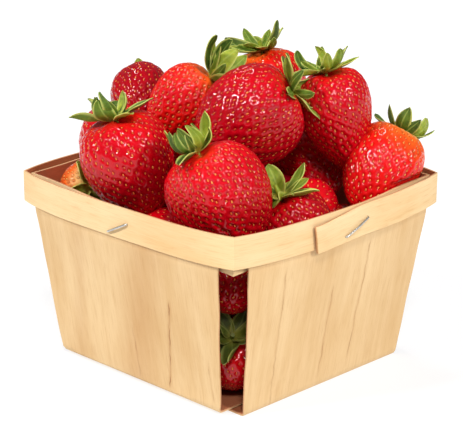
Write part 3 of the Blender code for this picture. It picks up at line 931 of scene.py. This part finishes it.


# ---- Leaves and stalks ------------------------------------------------------------------------
# Each berry keeps its star of leaves: pointed, creased along the middle, broad ones and narrow
# ones in turn, some lying on the shoulder and some curling up; a cut stalk stands in the middle.
# Those deep in the basket get painted shade: darker and browner the lower they sit.

# For each berry: leaves, their length and width in millimetres, how steeply they rise and how
# much they curl up along their length, in degrees, and the stalk's length in millimetres
LEAFY = {
    "front_left": (11, 18.0, 9.0, 18, 64, 3),
    "front": (11, 18.0, 8.0, 10, 66, 3),
    "upper_left": (12, 20.0, 8.0, 26, 52, 4),
    "far_left": (9, 8.0, 5.5, -5, 20, 2),
    "left": (9, 12.0, 6.0, 5, 20, 2),
    "summit": (12, 16.5, 7.0, 12, 48, 5),
    "middle": (11, 16.5, 7.4, 10, 52, 4),
    "upper_right": (12, 17.0, 7.2, 10, 52, 4),
    "right": (11, 16.0, 7.6, 4, 66, 3),
    "front_right": (11, 16.5, 8.0, 6, 40, 6),
    "left_corner": (5, 15.0, 10.0, -6, 10, 2),
    "back": (10, 15.0, 7.0, 20, 40, 4),
    "back_right": (10, 14.0, 6.5, 15, 30, 3),
    "back_left": (9, 13.0, 6.5, 10, 20, 2),
    "second_front": (8, 12.0, 6.0, 5, 10, 2),
    "bottom_front": (10, 16.0, 7.5, 14, 34, 3),
    "bottom_right": (9, 13.0, 6.5, 15, 20, 3),
    "bottom_back": (9, 13.0, 6.5, 15, 20, 3),
    "second_left": (9, 12.0, 6.0, 10, 20, 2),
    "bottom_left": (9, 12.0, 6.0, 10, 20, 2),
}
LEAF_SOLID = 0.34 * MM
LEAF_ROOT = 1.2 * MM
LEAF_ROWS = 18
LEAF_WIDEST = 0.472


def leaf_grid(length, width, rise, curl, twist, cup, sway):
    """A leaf in its own plane, x outwards, z up: a midline that turns from rise by curl, and
    across it a half width of (t + 0.12)^0.7 (1.003 - t)^0.6, creased and cupped upwards.
    """
    t = np.linspace(0, 1, LEAF_ROWS)[:, None]
    s = np.linspace(-1, 1, 9)[None, :]
    slope = rise + curl * t**1.3
    step = length / (LEAF_ROWS - 1)
    x = np.cumsum(np.cos(slope), 0) * step - step
    z = np.cumsum(np.sin(slope), 0) * step - step * np.sin(slope[:1])
    half = width / 2 * (t + 0.12) ** 0.7 * (1.003 - t) ** 0.6 / LEAF_WIDEST
    side = half * s
    raised = cup * half * np.abs(s) ** 1.6 + 0.03 * width * np.sin(9 * t + 2 * s)
    lean = twist * t
    y = side * np.cos(lean) - raised * np.sin(lean) + sway * length * t**2
    up = side * np.sin(lean) + raised * np.cos(lean)
    grid = np.stack([x - up * np.sin(slope), y, z + up * np.cos(slope)], -1)
    blade = np.stack(np.broadcast_arrays(s, t, 0.0), -1)
    return grid, blade


PAINTED_SHADE_FULL_BELOW = 45 * MM
PAINTED_SHADE_NONE_ABOVE = 75 * MM
leaf = Finish("strawberry leaf", IOR=1.42, Subsurface_Weight=0.1, Subsurface_Scale=0.001)
blade = leaf.mark("blade", vector=True)
across, along, tint = leaf.parts(blade)
from_rib = leaf.math("ABSOLUTE", across)
place = leaf.node("TexCoord", out=3)
mottle = leaf.noise(place, 420.0, 3.0, 0.6)
ribs = leaf.node("TexWave", {"bands_direction": "X"}, {"Vector": blade, "Scale": 2.6, "Distortion": 1.5})
ribs = Amount(leaf, ribs.socket.node.outputs[1])
stops = [
    (0.00, paint(48, 76, 18)),
    (0.35, paint(100, 128, 28)),
    (0.70, paint(172, 182, 52)),
    (1.00, paint(214, 210, 104)),
]
paler = tint * 0.66 + (mottle - 0.5) * 0.5 + (ribs - 0.5) * 0.12
color = leaf.node("ValToRGB", {"stops": stops}, {0: paler})
color = leaf.mix(leaf.step(from_rib, 0.70, 0.98) * 0.75, color, paint(206, 212, 112))
color = leaf.mix((1 - leaf.step(from_rib, 0.0, 0.16)) * 0.45, color, paint(176, 196, 96))
color = leaf.mix((1 - leaf.step(along, 0.0, 0.30)) * 0.7, color, paint(204, 204, 84))
# Painted shade: leaves low in the basket are mixed towards a dark brown by their height, for the shade deep
# in the heap
height = leaf.parts(place)[2]
color = leaf.mix((1 - leaf.step(height, PAINTED_SHADE_FULL_BELOW, PAINTED_SHADE_NONE_ABOVE)) * 0.6, color, paint(58, 48, 16))
leaf_finish = leaf.show(color, 0.42 + mottle * 0.15, mottle * 0.5 + ribs * 0.5, 0.00015)

for number, (name, (leaves, length, width, rise, curl, stalk)) in enumerate(LEAFY.items()):
    berry = BERRIES[name]
    dice = np.random.default_rng(300 + number)
    _, top = profile(np.array([0.0]), berry)
    base = np.array((0, 0, top[0] + 0.3 * MM))
    axes = axes_of(berry)
    all_points, all_quads, all_blades, count = [], [], [], 0
    for k in range(leaves):
        narrow = k % 2
        size = dice.uniform(0.82, 1.12) * (0.86 if narrow else 1.0)
        grid, blade = leaf_grid(
            length * size * MM,
            width * (0.62 if narrow else 1.0) * dice.uniform(0.85, 1.1) * MM,
            math.radians(rise + dice.uniform(-14, 14) + (6 if narrow else 0)),
            math.radians(curl * dice.uniform(-0.3, 2.0)),
            dice.uniform(-1.1, 1.1),
            dice.uniform(0.1, 0.7),
            dice.uniform(-0.22, 0.22),
        )
        turn = 2 * math.pi * (k + dice.uniform(-0.22, 0.22)) / leaves
        cos, sin = math.cos(turn), math.sin(turn)
        grid = (grid + (LEAF_ROOT, 0, 0)) @ np.array([[cos, sin, 0], [-sin, cos, 0], [0, 0, 1]])
        points, quads, over = slab(pressed((grid + base) @ axes + centre_of(berry)), LEAF_SOLID)
        all_points.append(points)
        all_quads.append(quads + count)
        blade[..., 2] = dice.uniform(0.1, 0.9)
        all_blades.append(blade.reshape(-1, 3)[over])
        count += len(points)
    way = dice.uniform(0, 2 * math.pi)
    along_stalk = np.linspace(-1.5 * MM, stalk * MM, 8)[:, None]
    bend = (along_stalk / MM) ** 2 * 0.03 * MM
    route = np.concatenate([bend * math.cos(way), bend * math.sin(way), along_stalk], 1) + base
    points, quads, caps = tube(route @ axes + centre_of(berry), np.linspace(1.3, 0.85, 8) * MM)
    all_points.append(points)
    all_quads.append(quads + count)
    all_blades.append(np.tile((0.4, 0.5, 0.8), (len(points), 1)))
    add_piece(
        "leaves_" + name,
        np.concatenate(all_points),
        np.concatenate(all_quads),
        leaf_finish,
        ["strawberry_heap"],
        {"blade": np.concatenate(all_blades)},
        50,
        caps + count,
    )


# ---- The inside of the heap -------------------------------------------------------------------
# Behind the berries that show, the rest of the heap is one lumpy body with the skin's gloss,
# coloured past its darkest red as painted shade, and never seen but as darkness between two berries.

CORE_HALF_SIZE = np.array((34.0, 34.0, 36.0)) * MM
CORE_CENTRE = np.array((0.0, 0.0, 46.0)) * MM
CORE_SQUARENESS = 4

down, turn = ball_angles(70, 120)
way = (np.sin(down) * np.cos(turn), np.sin(down) * np.sin(turn), np.cos(down))
way = np.stack(np.broadcast_arrays(*way), -1)
squared = (np.abs(way) ** CORE_SQUARENESS).sum(-1, keepdims=True) ** (-1 / CORE_SQUARENESS)
lumps = 1 + 0.05 * uneven(turn, down, 61, 0.9)[..., None] * np.sin(down)[..., None]
grid = way * squared * lumps * CORE_HALF_SIZE + CORE_CENTRE
points, quads, caps = closed_grid(grid)
# Painted shade: ripeness above 1 gives the whole core the skin's darkest red
ripeness = 1.1 + 0.1 * uneven(points[:, 0] + points[:, 1], points[:, 2], 62, 30 * MM)
marks = {"ripe": ripeness, "pit": ripeness * 0}
add_piece("heap_core", points, quads, skin_finish, ["strawberry_heap"], marks, 180, caps)


# ---- Floor, lights and camera -----------------------------------------------------------------
# The basket stands on a plain white table in a bright studio, under four soft lamps. A slight
# glow of the table's own keeps it white right up to the basket, with only faint shadows.

mesh = bpy.data.meshes.new("table_top")
mesh.from_pydata([(-6, -6, 0), (6, -6, 0), (6, 6, 0), (-6, 6, 0)], [], [(0, 1, 2, 3)])
table_top = bpy.data.objects.new("table_top", mesh)
bpy.context.scene.collection.objects.link(table_top)
white = Finish("white table", Specular_IOR_Level=0.0, Emission_Strength=0.72)
white.join((1.0, 1.0, 1.0), white.shader.inputs["Emission Color"])
soft = white.noise(white.node("TexCoord", out=3), 3.0)
color = white.mix(soft, (0.29, 0.295, 0.31), (0.31, 0.315, 0.33))
mesh.materials.append(white.show(color, 0.7 + soft * 0.05))
table_top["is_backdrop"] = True

# The backdrop is white to the eye but lights the basket only faintly
world = bpy.data.worlds.new("studio")
world.use_nodes = True
backdrop = world.node_tree.nodes["Background"]
backdrop.inputs["Color"].default_value = (1.0, 0.99, 0.975, 1.0)
seen = world.node_tree.nodes.new("ShaderNodeLightPath")
strength = world.node_tree.nodes.new("ShaderNodeMapRange")
strength.inputs["To Min"].default_value = 0.14
strength.inputs["To Max"].default_value = 1.1
world.node_tree.links.new(seen.outputs["Is Camera Ray"], strength.inputs["Value"])
world.node_tree.links.new(strength.outputs["Result"], backdrop.inputs["Strength"])
bpy.context.scene.world = world


def add_lamp(name, towards, strength, width, color):
    """A soft far lamp that shines from a direction, as wide in the sky as an angle in degrees."""
    data = bpy.data.lights.new(name, "SUN")
    data.energy = strength
    data.angle = math.radians(width)
    data.color = color
    lamp = bpy.data.objects.new(name, data)
    bpy.context.scene.collection.objects.link(lamp)
    tilt = math.atan2(math.hypot(towards[0], towards[1]), towards[2])
    lamp.rotation_euler = (tilt, 0, math.atan2(towards[0], -towards[1]))


add_lamp("lamp_left", (-0.25, -0.72, 0.65), 2.05, 10, (1.0, 0.985, 0.965))
add_lamp("lamp_right", (0.85, 0.05, 0.52), 1.68, 10, (1.0, 0.98, 0.955))
add_lamp("lamp_front", (0.50, -0.45, 0.74), 1.38, 10, (1.0, 0.99, 0.975))
add_lamp("lamp_top", (-0.45, 0.20, 0.87), 0.6, 10, (1.0, 0.99, 0.98))

AIM = np.array((0.21, 0.21, 59.5)) * MM
TOWARDS_CAMERA = np.array((0.66193, -0.68162, 0.31184))
CAMERA_DISTANCE = 772.4 * MM
CAMERA_ROLL = math.radians(0.5)

camera_data = bpy.data.cameras.new("camera")
camera_data.lens = 137.0
camera_data.sensor_width = 36.0
camera = bpy.data.objects.new("camera", camera_data)
bpy.context.scene.collection.objects.link(camera)
right = np.cross((0, 0, 1), TOWARDS_CAMERA)
right /= np.linalg.norm(right)
up = np.cross(TOWARDS_CAMERA, right)
cos, sin = math.cos(CAMERA_ROLL), math.sin(CAMERA_ROLL)
axes = np.eye(4)
axes[:3, 0] = right * cos + up * sin
axes[:3, 1] = up * cos - right * sin
axes[:3, 2] = TOWARDS_CAMERA
axes[:3, 3] = AIM + TOWARDS_CAMERA * CAMERA_DISTANCE
camera.matrix_world = [list(row) for row in axes.T]
bpy.context.scene.camera = camera

bpy.context.scene.view_settings.view_transform = "Standard"
bpy.context.scene.view_settings.look = "None"

sizes = {"cad": [list(corner) for corner in cad_box], "visual": [list(corner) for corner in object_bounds()]}
